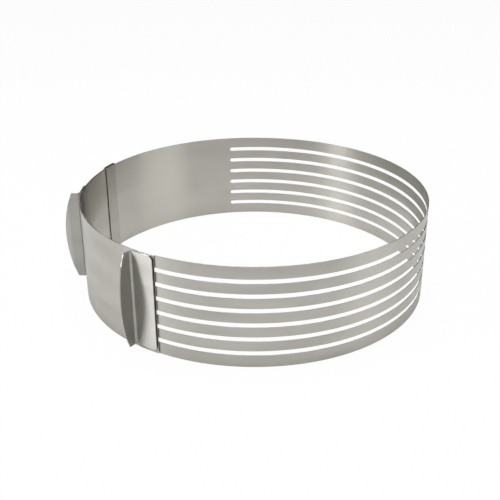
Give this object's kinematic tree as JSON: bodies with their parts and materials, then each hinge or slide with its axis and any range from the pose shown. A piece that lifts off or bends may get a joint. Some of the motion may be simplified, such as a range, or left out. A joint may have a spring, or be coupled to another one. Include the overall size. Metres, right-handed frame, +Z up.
{
  "type": "adjustable cake slicing ring",
  "caption": "Satin steel cake ring with level knife slots; finger handles push a plain outer strip through folded rim clips to set the ring's size",
  "frame": {"origin": "middle of the object's footprint on the plane that it stands on; the ring's own axis is 8.4 mm from it towards +X", "axes": "+Z up along the ring's axis, -Y the front that the picture shows, +X to the right seen from the front"},
  "size_m": [0.2974, 0.2804, 0.0798],
  "materials": {
    "band_steel": "satin, brushed along the strip",
    "strip_steel": "satin, brushed along the strip",
    "handle_steel": "satin",
    "clip_steel": "satin"
  },
  "bodies": {
    "hoop": {"slotted_band": "band_steel", "left_handle": "handle_steel", "left_guide_clip": "clip_steel"},
    "slider": {"sliding_band": "strip_steel", "front_handle": "handle_steel", "rear_guide_clip": "clip_steel"}
  },
  "joints": [
    {"name": "strip_slide", "type": "hinge", "parent": "hoop", "child": "slider", "pos_m": [0.00843, 0, 0], "axis": [0, 0, 1], "range_deg": [-47, 17]}
  ]
}
